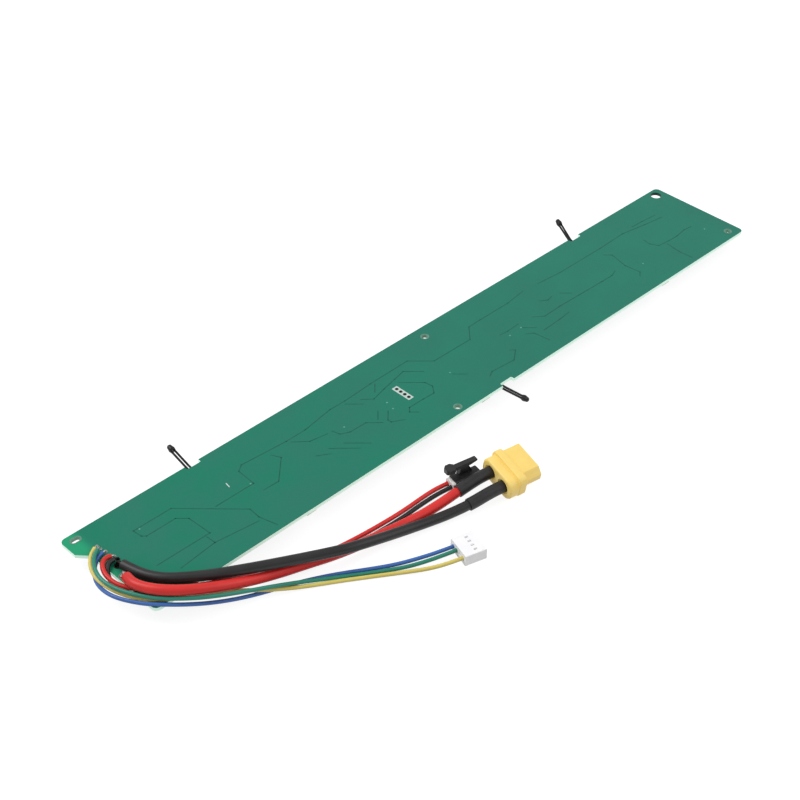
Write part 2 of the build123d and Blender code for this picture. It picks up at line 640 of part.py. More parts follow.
def signal_plug():
    place = signal_plug_place()
    ways = [((SIGNAL_WAYS + 1) / 2 - way) * SIGNAL_PITCH for way in range(1, SIGNAL_WAYS + 1)]
    housing = along_x(RectangleRounded(SIGNAL_PLUG_WIDTH, SIGNAL_PLUG_HEIGHT, 0.4), 0,
                      SIGNAL_PLUG_LENGTH)
    bore = SIGNAL_LEAD / 2 + SIGNAL_BORE_FIT
    top = SIGNAL_PLUG_HEIGHT / 2
    for y in ways:
        housing -= bar_x(bore, -1, SIGNAL_ENTRY + 1, y)
        housing -= along_x(Pos(y, 0) * Rectangle(CAVITY, CAVITY), SIGNAL_ENTRY - 0.1, SIGNAL_PLUG_LENGTH)
        housing -= Pos(WINDOW_START, y, 0) * Box(WINDOW_LENGTH, WINDOW_WIDTH, top + 1,
                                                 align=(Align.MIN, Align.CENTER, Align.MIN))
    for side in (-1, 1):
        edge = side * (SIGNAL_PLUG_WIDTH / 2 - RIB_WIDTH)
        housing += Pos(SIGNAL_PLUG_LENGTH, edge, -top) * Box(
            RIB_LENGTH, RIB_WIDTH, RIB_HEIGHT, align=(Align.MAX, Align.CENTER, Align.MIN))
    keep("signal_plug_housing", place * housing)
    contacts = []
    for way, filled in zip(ways, SIGNAL_FILLED):
        if filled:
            contacts.append(place * along_x(Pos(way, 0) * Rectangle(CAVITY - 0.2, CAVITY - 0.2),
                                            SIGNAL_ENTRY, SIGNAL_PLUG_LENGTH - SIGNAL_ENTRY - 1.0))
    keep("signal_plug_contacts", contacts)


# Temperature sensors

def bead_drop():
    """A drop of resin with a flat rear at z = 0 and its nose up."""
    belly = BEAD_LENGTH * 0.3
    barrel = Cone(BEAD_REAR / 2, BEAD_WIDTH / 2, belly, align=(Align.CENTER, Align.CENTER, Align.MIN))
    taper = Cone(BEAD_WIDTH / 2, BEAD_NOSE / 2, BEAD_LENGTH - belly,
                 align=(Align.CENTER, Align.CENTER, Align.MIN))
    drop = barrel + Pos(0, 0, belly) * taper
    nose = drop.edges().filter_by(GeomType.CIRCLE).sort_by(Axis.Z)[-1]
    return chamfer(nose, BEAD_NOSE * 0.3)


def sensor(base_x, tip_x, tip_z, base_pitch, side):
    """Two wires from the underside through a notch, and a bead at their ends."""
    under = BOTTOM - SENSOR_WIRE / 2
    edge = Vector(base_x, side * HALF_WIDTH, under)
    tip = Vector(tip_x, side * SENSOR_REACH, tip_z)
    ahead = (tip - edge).normalized()
    cut = tip - ahead * BEAD_LENGTH
    across = Vector(side, 0, 0)
    across = (across - ahead * across.dot(ahead)).normalized()
    bead = Plane(origin=cut, x_dir=across, z_dir=ahead) * bead_drop()
    wires = []
    for half in (-0.5, 0.5):
        end = cut + across * SENSOR_PITCH * half
        base = edge.X + side * base_pitch * half
        points = [(base, side * (HALF_WIDTH - SENSOR_TAIL), under), (base, edge.Y, under), tuple(end)]
        wires.append(tube(FilletPolyline(*points, radius=corner_radii(points)), SENSOR_WIRE / 2))
    joint = hung_block((SENSOR_JOINT_WIDTH, SENSOR_JOINT_LENGTH, SENSOR_JOINT_HEIGHT),
                       (base_x, side * (HALF_WIDTH - SENSOR_TAIL)))
    for wire in wires:
        joint -= wire
    return bead, wires, joint


def sensors():
    lead_end = from_lead_end(LEAD_END_SENSOR)[0], LEAD_END + LEAD_END_SENSOR[1], *LEAD_END_SENSOR[2:]
    far_end = from_far_end(FAR_END_SENSOR)[0], HALF_LENGTH - FAR_END_SENSOR[1], *FAR_END_SENSOR[2:]
    rows = [sensor(*lead_end, 1), sensor(*far_end, 1), sensor(*NEAR_SENSOR, -1)]
    for place, row in zip(("lead_end", "far_end", "middle"), rows):
        keep("thermistor_bead_" + place, row[0])
    keep("thermistor_leads", [wire for row in rows for wire in row[1]])
    keep("thermistor_joints", [row[2] for row in rows])


# Underside

def cell_tabs():
    size = (CELL_TAB_WIDTH, CELL_TAB_LENGTH, CELL_TAB_THICKNESS)
    near = -HALF_WIDTH - CELL_TAB_PROUD + CELL_TAB_LENGTH / 2
    far = HALF_WIDTH - CELL_TAB_LENGTH / 2
    places = [from_lead_end((distance, near)) for distance in NEAR_TABS_FROM_LEAD_END]
    places += [from_far_end((distance, near)) for distance in NEAR_TABS_FROM_FAR_END]
    places += [from_lead_end((distance, far)) for distance in FAR_TABS_FROM_LEAD_END]
    places += [from_far_end((distance, far)) for distance in FAR_TABS_FROM_FAR_END]
    keep("cell_tabs", [hung_block(size, place) for place in places])


def capacitors():
    bases, cans = [], []
    places = [from_lead_end(place) for place in LEAD_END_CAPACITORS]
    places += [from_far_end(place) for place in FAR_END_CAPACITORS]
    for place in places:
        base = hung_block((CAN_BASE, CAN_BASE, CAN_BASE_HEIGHT), place)
        bases.append(chamfer(base.edges().filter_by(Axis.Z), 1.0))
        can = drum(CAN_DIAMETER / 2, 0, BOTTOM - CAN_BASE_HEIGHT, place)
        cans.append(fillet(can.edges().sort_by(Axis.Z)[0], 0.4))
    keep("capacitor_bases", bases)
    keep("capacitor_cans", cans)


def switches():
    """Power switches with a tab on one side and two leads on the other."""
    bodies, tabs, legs = [], [], []
    for row in SWITCH_ROWS:
        side = 1 if row > 0 else -1
        for column in (LEAD_END + distance for distance in SWITCH_COLUMNS):
            body_y, tab_y = row, row + side * (SWITCH_BODY[1] + SWITCH_TAB[0]) / 2
            bodies.append(hung_block(SWITCH_BODY, (column, body_y)))
            tabs.append(hung_block((SWITCH_TAB[1], SWITCH_TAB[0], SWITCH_TAB[2]), (column, tab_y)))
            leg_y = row - side * (SWITCH_BODY[1] + SWITCH_LEAD[0]) / 2
            for leg in (-SWITCH_LEAD_PITCH, SWITCH_LEAD_PITCH):
                size = (SWITCH_LEAD[1], SWITCH_LEAD[0], SWITCH_LEAD[2])
                legs.append(hung_block(size, (column + leg, leg_y)))
    keep("mosfet_bodies", bodies)
    keep("mosfet_tabs", tabs)
    keep("mosfet_leads", legs)


def pin(body, width):
    """A bent pin on the +X side of a chip, seated on the board and running into the body."""
    out, mid = body[0] / 2, body[2] / 2
    step = PIN_REACH * 0.45
    points = [(out, -mid), (out + step, -mid), (out + step, -PIN_THICKNESS),
              (out + PIN_REACH, -PIN_THICKNESS), (out + PIN_REACH, 0), (out + step - PIN_THICKNESS, 0),
              (out + step - PIN_THICKNESS, -mid + PIN_THICKNESS), (out, -mid + PIN_THICKNESS)]
    profile = make_face(Polyline(*points, close=True))
    return Pos(0, width / 2, 0) * extrude(Plane.XZ * profile, width)


def chip(name, body, place, count, pitch, width, sides):
    """A chip body and its pins, with the long row of pins on the named sides."""
    keep(name, hung_block(body, place))
    pins = []
    for turn in sides:
        facing = body if turn % 180 == 0 else (body[1], body[0], body[2])
        for index in range(count):
            shift = (index - (count - 1) / 2) * pitch
            pins.append(Pos(place[0], place[1], BOTTOM) * Rot(0, 0, turn) * Pos(0, shift, 0)
                        * pin(facing, width))
    keep(name + "_leads", pins)


def row_of(name, size, start, pitch, count, y):
    keep(name, [hung_block(size, (start + index * pitch, y)) for index in range(count)])


def small_parts():
    keep("shunt_resistors", [hung_block(LARGE_CHIP_RESISTOR, from_lead_end(place)) for place in SHUNT_PLACES])
    chip("monitor_chip", MONITOR_BODY, from_far_end(MONITOR_PLACE), MONITOR_PIN_COUNT, MONITOR_PIN_PITCH,
         PIN_WIDTH, (90, 270))
    chip("microcontroller", CONTROLLER_BODY, from_lead_end(CONTROLLER_PLACE), CONTROLLER_PIN_COUNT,
         CONTROLLER_PIN_PITCH, PIN_WIDTH, (0, 90, 180, 270))
    chip("regulator", REGULATOR_BODY, from_lead_end(REGULATOR_PLACE), REGULATOR_PIN_COUNT,
         REGULATOR_PIN_PITCH, REGULATOR_PIN_WIDTH, (270,))
    start = HALF_LENGTH - BALANCE_START
    row_of("balance_resistors", LARGE_CHIP_RESISTOR, start, BALANCE_PITCH, BALANCE_COUNT,
           BALANCE_RESISTOR_ROW)
    row_of("balance_transistors", BALANCE_TRANSISTOR, start, BALANCE_PITCH, BALANCE_COUNT,
           BALANCE_TRANSISTOR_ROW)
    row_of("chip_resistors", CHIP_RESISTOR, start, BALANCE_PITCH / 2, 2 * BALANCE_COUNT,
           CHIP_RESISTOR_ROW)
    row_of("chip_capacitors", CHIP_CAPACITOR, start, BALANCE_PITCH, BALANCE_COUNT,
           CHIP_CAPACITOR_ROW)
    keep("surge_diodes", [hung_block(SURGE_DIODE, from_lead_end(place)) for place in SURGE_DIODE_PLACES])
    inductor = hung_block(INDUCTOR, from_lead_end(INDUCTOR_PLACE))
    keep("power_inductor", fillet(inductor.edges().filter_by(Axis.Z), INDUCTOR_CORNER))
    keep("crystal_can", hung_block(CRYSTAL, from_lead_end(CRYSTAL_PLACE)))
    keep("status_lamps", [hung_block(STATUS_LAMP, from_lead_end(place)) for place in STATUS_LAMP_PLACES])


def fuse():
    glass = FUSE_LENGTH - 2 * FUSE_CAP
    x, y = from_lead_end(FUSE_PLACE)
    keep("fuse_body", hung_block((glass, FUSE_SECTION - 0.4, FUSE_SECTION - 0.2), (x, y)))
    caps = [hung_block((FUSE_CAP, FUSE_SECTION, FUSE_SECTION), (x + side * (glass + FUSE_CAP) / 2, y))
            for side in (-1, 1)]
    keep("fuse_caps", caps)


board()
lands()
leads()
power_plug()
latch_plug()
signal_plug()
sensors()
cell_tabs()
capacitors()
switches()
small_parts()
fuse()

os.makedirs("parts", exist_ok=True)
for name, shape in NODES.items():
    export_step(shape, f"parts/{name}.step")
print(len(NODES), "nodes")
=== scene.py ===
import bpy, math
from mathutils import Matrix, Vector


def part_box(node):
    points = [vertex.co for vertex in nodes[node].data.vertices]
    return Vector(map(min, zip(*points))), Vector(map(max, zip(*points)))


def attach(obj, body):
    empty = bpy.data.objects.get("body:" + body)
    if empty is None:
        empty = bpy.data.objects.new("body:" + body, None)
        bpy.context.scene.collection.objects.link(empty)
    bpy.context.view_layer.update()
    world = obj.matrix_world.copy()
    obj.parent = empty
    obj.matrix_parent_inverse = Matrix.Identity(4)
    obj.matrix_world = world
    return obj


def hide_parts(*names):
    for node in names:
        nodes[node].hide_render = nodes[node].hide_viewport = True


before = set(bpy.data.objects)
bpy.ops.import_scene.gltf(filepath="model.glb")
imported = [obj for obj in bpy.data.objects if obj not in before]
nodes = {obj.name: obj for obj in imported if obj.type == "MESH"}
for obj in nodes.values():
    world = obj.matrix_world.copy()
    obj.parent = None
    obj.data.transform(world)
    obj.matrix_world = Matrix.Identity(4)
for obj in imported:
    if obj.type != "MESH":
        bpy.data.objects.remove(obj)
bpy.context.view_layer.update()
scene = bpy.context.scene
scene.view_settings.view_transform = "Standard"

# The view: a camera above the lead end's near corner, looking along the board
# from the side that carries the leads, with a long lens.
view_azimuth = math.radians(44.715)
view_elevation = math.radians(39.265)
view_roll = math.radians(0.237)
view_distance = 0.70452
view_target = Vector((-0.030189, -0.003218, 0.0096))
ahead = Vector((math.sin(view_azimuth) * math.cos(view_elevation),
                math.cos(view_azimuth) * math.cos(view_elevation), -math.sin(view_elevation)))
level = Vector((math.cos(view_azimuth), -math.sin(view_azimuth), 0))
across = level * math.cos(view_roll) + level.cross(ahead) * math.sin(view_roll)
turn = Matrix((across, across.cross(ahead), -ahead)).transposed()
camera = bpy.data.objects.new("camera", bpy.data.cameras.new("camera"))
camera.data.lens = 72.18
camera.data.sensor_width = 36
camera.data.clip_start = 0.01
camera.matrix_world = Matrix.Translation(view_target - ahead * view_distance) @ turn.to_4x4()
scene.collection.objects.link(camera)
scene.camera = camera


# The table: a plain pale sheet that runs out of sight behind the board. It shows as
# white to the camera and to reflections, keeps the board's soft shadow, and is clear
# when it is looked at from below.
def paper_floor():
    """The sheet and its paper, which shines only for rays that see it."""
    reach = 3.0
    white_level = 0.86
    sheet = bpy.data.meshes.new("floor")
    sheet.from_pydata([(-reach, -reach, 0), (reach, -reach, 0), (reach, reach, 0), (-reach, reach, 0)],
                      [], [(0, 1, 2, 3)])
    floor = bpy.data.objects.new("floor", sheet)
    scene.collection.objects.link(floor)
    paper = bpy.data.materials.new("pale_table")
    paper.use_nodes = True
    tree = paper.node_tree
    shader = tree.nodes["Principled BSDF"]
    shader.inputs["Base Color"].default_value = (0.3, 0.3, 0.3, 1)
    shader.inputs["Roughness"].default_value = 0.9
    shader.inputs["Specular IOR Level"].default_value = 0.1
    shader.inputs["Emission Color"].default_value = (1, 1, 1, 1)
    rays = tree.nodes.new("ShaderNodeLightPath")
    seen = tree.nodes.new("ShaderNodeMath")
    seen.operation = "MAXIMUM"
    through = tree.nodes.new("ShaderNodeMath")
    through.operation = "MAXIMUM"
    level = tree.nodes.new("ShaderNodeMath")
    level.operation = "MULTIPLY"
    level.inputs[1].default_value = white_level
    tree.links.new(rays.outputs["Is Camera Ray"], seen.inputs[0])
    tree.links.new(rays.outputs["Is Glossy Ray"], seen.inputs[1])
    tree.links.new(seen.outputs[0], through.inputs[0])
    tree.links.new(rays.outputs["Is Transmission Ray"], through.inputs[1])
    tree.links.new(through.outputs[0], level.inputs[0])
    tree.links.new(level.outputs[0], shader.inputs["Emission Strength"])
    side = tree.nodes.new("ShaderNodeNewGeometry")
    clear = tree.nodes.new("ShaderNodeBsdfTransparent")
    from_below = tree.nodes.new("ShaderNodeMixShader")
    tree.links.new(side.outputs["Backfacing"], from_below.inputs["Fac"])
    tree.links.new(shader.outputs["BSDF"], from_below.inputs[1])
    tree.links.new(clear.outputs["BSDF"], from_below.inputs[2])
    tree.links.new(from_below.outputs["Shader"], tree.nodes["Material Output"].inputs["Surface"])
    sheet.materials.append(paper)


paper_floor()

# The light: a large soft box above the far left of the board, a weaker one on the right,
# and an even pale surround.
def soft_box(name, place, aim, size, power):
    box = bpy.data.lights.new(name, "AREA")
    box.shape = "SQUARE"
    box.size = size
    box.energy = power
    lamp = bpy.data.objects.new(name, box)
    lamp.location = place
    lamp.rotation_euler = (Vector(place) - Vector(aim)).to_track_quat("Z", "Y").to_euler()
    scene.collection.objects.link(lamp)


soft_box("key_light", (-0.55, 0.75, 1.2), (0, 0, 0), 0.9, 10.5)
soft_box("fill_light", (0.9, -0.9, 0.9), (0, 0, 0), 1.2, 5.4)
surround = bpy.data.worlds.new("surround")
surround.use_nodes = True
surround.node_tree.nodes["Background"].inputs["Color"].default_value = (1, 1, 1, 1)
surround.node_tree.nodes["Background"].inputs["Strength"].default_value = 0.58
scene.world = surround


# The power leads: stranded copper in soft silicone, soldered at the lead end of the board
# and crimped in the power plug. They keep the curve that they were laid in.
def wandering_tone():
    """Slow change of tone and fine grain, which moulded and drawn surfaces share."""
    group = bpy.data.node_groups.new("wandering_tone", "ShaderNodeTree")
    sides = [("Color", "INPUT", "NodeSocketColor"), ("Shade", "INPUT", "NodeSocketColor"),
             ("Patch Scale", "INPUT", "NodeSocketFloat"), ("Grain Scale", "INPUT", "NodeSocketFloat"),
             ("Low Roughness", "INPUT", "NodeSocketFloat"), ("High Roughness", "INPUT", "NodeSocketFloat"),
             ("Color", "OUTPUT", "NodeSocketColor"), ("Roughness", "OUTPUT", "NodeSocketFloat"),
             ("Height", "OUTPUT", "NodeSocketFloat")]
    for label, side, kind in sides:
        group.interface.new_socket(name=label, in_out=side, socket_type=kind)
    enter, leave = group.nodes.new("NodeGroupInput"), group.nodes.new("NodeGroupOutput")
    place = group.nodes.new("ShaderNodeTexCoord")
    patches, grain = group.nodes.new("ShaderNodeTexNoise"), group.nodes.new("ShaderNodeTexNoise")
    patches.inputs["Detail"].default_value = 4
    grain.inputs["Detail"].default_value = 2
    blend = group.nodes.new("ShaderNodeMix")
    blend.data_type = "RGBA"
    ease = group.nodes.new("ShaderNodeMapRange")
    ease.inputs["From Min"].default_value = 0.35
    ease.inputs["From Max"].default_value = 0.65
    rough = group.nodes.new("ShaderNodeMapRange")
    links = group.links
    links.new(place.outputs["Object"], patches.inputs["Vector"])
    links.new(place.outputs["Object"], grain.inputs["Vector"])
    links.new(enter.outputs["Patch Scale"], patches.inputs["Scale"])
    links.new(enter.outputs["Grain Scale"], grain.inputs["Scale"])
    links.new(patches.outputs[0], ease.inputs["Value"])
    links.new(ease.outputs["Result"], blend.inputs["Factor"])
    links.new(enter.outputs["Color"], blend.inputs[6])
    links.new(enter.outputs["Shade"], blend.inputs[7])
    links.new(patches.outputs[0], rough.inputs["Value"])
    links.new(enter.outputs["Low Roughness"], rough.inputs["To Min"])
    links.new(enter.outputs["High Roughness"], rough.inputs["To Max"])
    links.new(blend.outputs[2], leave.inputs["Color"])
    links.new(rough.outputs["Result"], leave.inputs["Roughness"])
    links.new(grain.outputs[0], leave.inputs["Height"])
    return group


tone = wandering_tone()


def finish(name, color, shade, patches, grain, roughness, bump, metal=0.0, gloss=0.5):
    """A material whose tone wanders between two colours, with grain in its bump."""
    material = bpy.data.materials.new(name)
    material.use_nodes = True
    tree = material.node_tree
    shader = tree.nodes["Principled BSDF"]
    shader.inputs["Metallic"].default_value = metal
    shader.inputs["Specular IOR Level"].default_value = gloss
    surface = tree.nodes.new("ShaderNodeGroup")
    surface.node_tree = tone
    surface.inputs["Color"].default_value = (*color, 1)
    surface.inputs["Shade"].default_value = (*shade, 1)
    surface.inputs["Patch Scale"].default_value = patches
    surface.inputs["Grain Scale"].default_value = grain
    surface.inputs["Low Roughness"].default_value = roughness[0]
    surface.inputs["High Roughness"].default_value = roughness[1]
    relief = tree.nodes.new("ShaderNodeBump")
    relief.inputs["Strength"].default_value = bump
    relief.inputs["Distance"].default_value = 0.0001
    tree.links.new(surface.outputs["Color"], shader.inputs["Base Color"])
    tree.links.new(surface.outputs["Roughness"], shader.inputs["Roughness"])
    tree.links.new(surface.outputs["Height"], relief.inputs["Height"])
    tree.links.new(relief.outputs["Normal"], shader.inputs["Normal"])
    return material


def dress(node, material):
    """Give a carried-over solid its finish."""
    nodes[node].data.materials.clear()
    nodes[node].data.materials.append(material)


lead_end = -0.189


def lead(node, points, diameter, material):
    """A lead along its route, measured from the board's lead end."""
    curve = bpy.data.curves.new(node + "_line", "CURVE")
    curve.dimensions = "3D"
    line = curve.splines.new("NURBS")
    line.points.add(len(points) - 1)
    for corner, (x, y, z) in zip(line.points, points):
        corner.co = (x + lead_end, y, z, 1)
    line.order_u = 3
    line.use_endpoint_u = True
    line.resolution_u = 8
    curve.bevel_depth = diameter / 2
    curve.bevel_resolution = 6
    curve.use_fill_caps = True
    curve.materials.append(material)
    piece = bpy.data.objects.new(node + "_insulation", curve)
    scene.collection.objects.link(piece)
    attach(piece, "root")
    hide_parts(node)
    return piece


black_silicone = finish("black_silicone", (0.013, 0.013, 0.014), (0.022, 0.022, 0.023), 60, 2500,
                        (0.36, 0.46), 0.05, gloss=0.45)
red_silicone = finish("red_silicone", (0.76, 0.026, 0.022), (0.66, 0.018, 0.015), 60, 2500,
                      (0.34, 0.44), 0.05, gloss=0.45)
power_diameter = 0.0044
power_negative_route = [
    (0.0092, -0.0019, 0.0119), (0.0101, -0.0071, 0.0121), (0.012, -0.0135, 0.0123),
    (0.0159, -0.0197, 0.0124), (0.0227, -0.0253, 0.0123), (0.031, -0.0309, 0.012),
    (0.0407, -0.0359, 0.0113), (0.0509, -0.0407, 0.0104), (0.0611, -0.0455, 0.0097),
    (0.0704, -0.0504, 0.0096), (0.0795, -0.0545, 0.0092), (0.0901, -0.0566, 0.0074),
    (0.1021, -0.0584, 0.0049), (0.1143, -0.0608, 0.0033), (0.1256, -0.0639, 0.003),
    (0.1362, -0.067, 0.0041), (0.14764, -0.06882, 0.00535), (0.15698, -0.07053, 0.00535),
]
power_positive_route = [
    (0.0054, -0.0096, 0.0134), (0.0043, -0.0139, 0.0145), (0.0054, -0.0192, 0.0149),
    (0.0091, -0.0251, 0.015), (0.0143, -0.03, 0.0146), (0.0209, -0.0336, 0.0131),
    (0.0288, -0.0364, 0.011), (0.0377, -0.0387, 0.0084), (0.0473, -0.041, 0.0062),
    (0.057, -0.0434, 0.0049), (0.0665, -0.0463, 0.0045), (0.0758, -0.0497, 0.0045),
    (0.0855, -0.052, 0.0042), (0.0964, -0.0534, 0.0034), (0.1078, -0.0548, 0.0025),
    (0.1194, -0.0566, 0.0025), (0.129, -0.0581, 0.0039), (0.1388, -0.0594, 0.0059),
    (0.1492, -0.06029, 0.00687), (0.15854, -0.06201, 0.00687),
]
lead("power_lead_negative", power_negative_route, power_diameter, black_silicone)
lead("power_lead_positive", power_positive_route, power_diameter, red_silicone)

# The charging leads: stranded copper in the same soft silicone, but thin. They are
# soldered beside the power leads and crimped in the latch plug.
charge_diameter = 0.0020
charge_positive_route = [
    (0.009, 0.0059, 0.011), (0.0073, 0.006, 0.0115), (0.0049, 0.0051, 0.0119),
    (0.0026, 0.0026, 0.012), (0.0011, -0.0011, 0.0118), (0.0009, -0.0051, 0.0114),
    (0.0018, -0.0093, 0.0111), (0.0043, -0.0135, 0.01075), (0.0079, -0.0182, 0.0108),
    (0.0128, -0.0226, 0.0108), (0.0186, -0.027, 0.0108), (0.0254, -0.0305, 0.0101),
    (0.0348, -0.0333, 0.0078), (0.045, -0.036, 0.005), (0.0558, -0.0385, 0.0026),
    (0.0666, -0.0412, 0.0013), (0.0778, -0.0444, 0.0011), (0.0902, -0.0464, 0.0011),
    (0.1036, -0.0477, 0.0011), (0.1164, -0.0486, 0.0014), (0.1274, -0.0489, 0.0022),
    (0.13553, -0.04948, 0.0026), (0.14189, -0.05083, 0.0026),
]
charge_negative_route = [
    (0.0089, 0.0037, 0.0108), (0.0072, 0.0036, 0.0111), (0.0051, 0.0025, 0.0111),
    (0.0034, 0.0006, 0.0103), (0.0022, -0.0019, 0.0091), (0.0016, -0.0055, 0.0086),
    (0.0017, -0.0098, 0.0088), (0.0025, -0.0142, 0.0096), (0.0047, -0.0184, 0.0106),
    (0.0084, -0.0225, 0.0108), (0.0129, -0.0262, 0.0108), (0.0186, -0.0296, 0.0104),
    (0.026, -0.0328, 0.0089), (0.0344, -0.0357, 0.0064), (0.0436, -0.0384, 0.0039),
    (0.0536, -0.041, 0.0019), (0.0637, -0.0439, 0.0012), (0.0741, -0.0466, 0.0011),
    (0.0858, -0.0487, 0.0011), (0.0989, -0.0502, 0.0011), (0.1121, -0.0512, 0.0013),
    (0.1244, -0.0513, 0.0019), (0.13495, -0.05222, 0.0026), (0.14131, -0.05357, 0.0026),
]
lead("charge_lead_positive", charge_positive_route, charge_diameter, red_silicone)
lead("charge_lead_negative", charge_negative_route, charge_diameter,
     black_silicone)

# The signal leads: fine stranded wire in coloured vinyl, soldered nearest the slot and
# crimped in the white plug.
signal_diameter = 0.0017
yellow_vinyl = finish("yellow_vinyl", (0.80, 0.68, 0.17), (0.74, 0.60, 0.14), 80, 3000,
                      (0.28, 0.38), 0.04, gloss=0.5)
green_vinyl = finish("green_vinyl", (0.022, 0.27, 0.185), (0.018, 0.22, 0.15), 80, 3000,
                     (0.28, 0.38), 0.04, gloss=0.5)
blue_vinyl = finish("blue_vinyl", (0.050, 0.165, 0.50), (0.040, 0.13, 0.42), 80, 3000,
                    (0.28, 0.38), 0.04, gloss=0.5)
yellow_route = [
    (0.0072, 0.014, 0.0108), (0.0048, 0.0124, 0.0112), (0.0022, 0.01, 0.0112),
    (-0.0002, 0.0065, 0.0111), (-0.0018, 0.0024, 0.011), (-0.0023, -0.0023, 0.0108),
    (-0.0017, -0.0077, 0.0107), (-0.0001, -0.0132, 0.0106), (0.0025, -0.0188, 0.0106),
    (0.0066, -0.0241, 0.0106), (0.0121, -0.0286, 0.01055), (0.0197, -0.0323, 0.0094),
    (0.0282, -0.0357, 0.0075), (0.0367, -0.0395, 0.0054), (0.0446, -0.0444, 0.0036),
    (0.0531, -0.0494, 0.002), (0.0622, -0.0544, 0.0011), (0.0716, -0.06, 0.0009),
    (0.0821, -0.067, 0.0009), (0.0922, -0.0739, 0.001), (0.099, -0.0794, 0.0019),
    (0.10612, -0.08351, 0.00265), (0.11427, -0.08592, 0.00265),
]
green_route = [
    (0.0071, 0.0117, 0.0118), (0.0046, 0.0099, 0.0126), (0.0018, 0.0069, 0.0128),
    (-0.0004, 0.0033, 0.0128), (-0.0019, -0.0012, 0.0127), (-0.002, -0.006, 0.0127),
    (-0.001, -0.011, 0.0126), (0.0011, -0.016, 0.0126), (0.0039, -0.0213, 0.0126),
    (0.0079, -0.0269, 0.0126), (0.0132, -0.032, 0.0124), (0.0203, -0.0366, 0.0112),
    (0.029, -0.0402, 0.0092), (0.0383, -0.0432, 0.0069), (0.0479, -0.0466, 0.005),
    (0.0574, -0.0505, 0.0032), (0.067, -0.055, 0.0015), (0.0763, -0.0606, 0.0009),
    (0.0853, -0.0666, 0.0009), (0.0938, -0.072, 0.0011), (0.1006, -0.0758, 0.002),
    (0.10754, -0.07871, 0.00265), (0.11569, -0.08113, 0.00265),
]
blue_route = [
    (0.0082, 0.0101, 0.0106), (0.006, 0.0096, 0.0107), (0.0038, 0.0083, 0.0104),
    (0.0018, 0.0067, 0.0094), (-0.0001, 0.0046, 0.0087), (-0.002, 0.0012, 0.0086),
    (-0.0033, -0.0036, 0.0092), (-0.0035, -0.0091, 0.0101), (-0.0024, -0.014, 0.0106),
    (0.0001, -0.0189, 0.0106), (0.0036, -0.0241, 0.0106), (0.0086, -0.0293, 0.0105),
    (0.0154, -0.0339, 0.009), (0.0235, -0.0375, 0.0066), (0.0329, -0.0403, 0.0038),
    (0.0428, -0.0428, 0.0015), (0.0528, -0.0461, 0.0009), (0.0633, -0.0508, 0.0009),
    (0.0736, -0.0565, 0.0009), (0.0838, -0.0631, 0.0009), (0.0926, -0.0685, 0.0011),
    (0.101, -0.073, 0.002), (0.10825, -0.07632, 0.00265), (0.1164, -0.07873, 0.00265),
]
lead("signal_lead_yellow", yellow_route, signal_diameter, yellow_vinyl)
lead("signal_lead_green", green_route, signal_diameter, green_vinyl)
lead("signal_lead_blue", blue_route, signal_diameter, blue_vinyl)

# The tinned cores: the leads' bare copper strands, dipped in solder so that they hold
# together, and bent down into the board's holes.
tinned = finish("tinned_strands", (0.66, 0.65, 0.62), (0.50, 0.49, 0.46), 900, 5000,
                (0.22, 0.40), 0.25, metal=1.0)
for core in ("power_lead_cores", "charge_lead_cores", "signal_lead_cores"):
    dress(core, tinned)

# The board: glass cloth and resin, routed to its outline, with copper on both faces
# under a sprayed green mask. Its cut edges are bare pale resin, with painted light on them.
mask_near_leads = (0.004, 0.200, 0.118)
mask_beyond_header = (0.014, 0.203, 0.136)
mask_shade = (0.017, 0.186, 0.130)
mask_drift = (-0.15, 0.03)
# Over the last few millimetres toward the lead end the top face is coloured a lighter green.
lead_end_edge_band = (-0.1795, -0.1845)
lead_end_edge_green = (0.012, 0.340, 0.165)
# The cut walls' colour is the bare resin's pale mint, lifted further as painted light; the two values after
# it paint a glow onto them.
cut_edge = (0.80, 0.96, 0.87)
cut_edge_painted_light = (0.55, 0.90, 0.72)
edge_painted_light_strength = 0.34
mount_hole = (0.1833, 0.0236, 0.0088)
mount_hole_reach = 0.0032
# Painted shade: the wall of the mount hole is coloured near black and gets no painted glow.
mount_hole_painted_shade = (0.015, 0.045, 0.035)


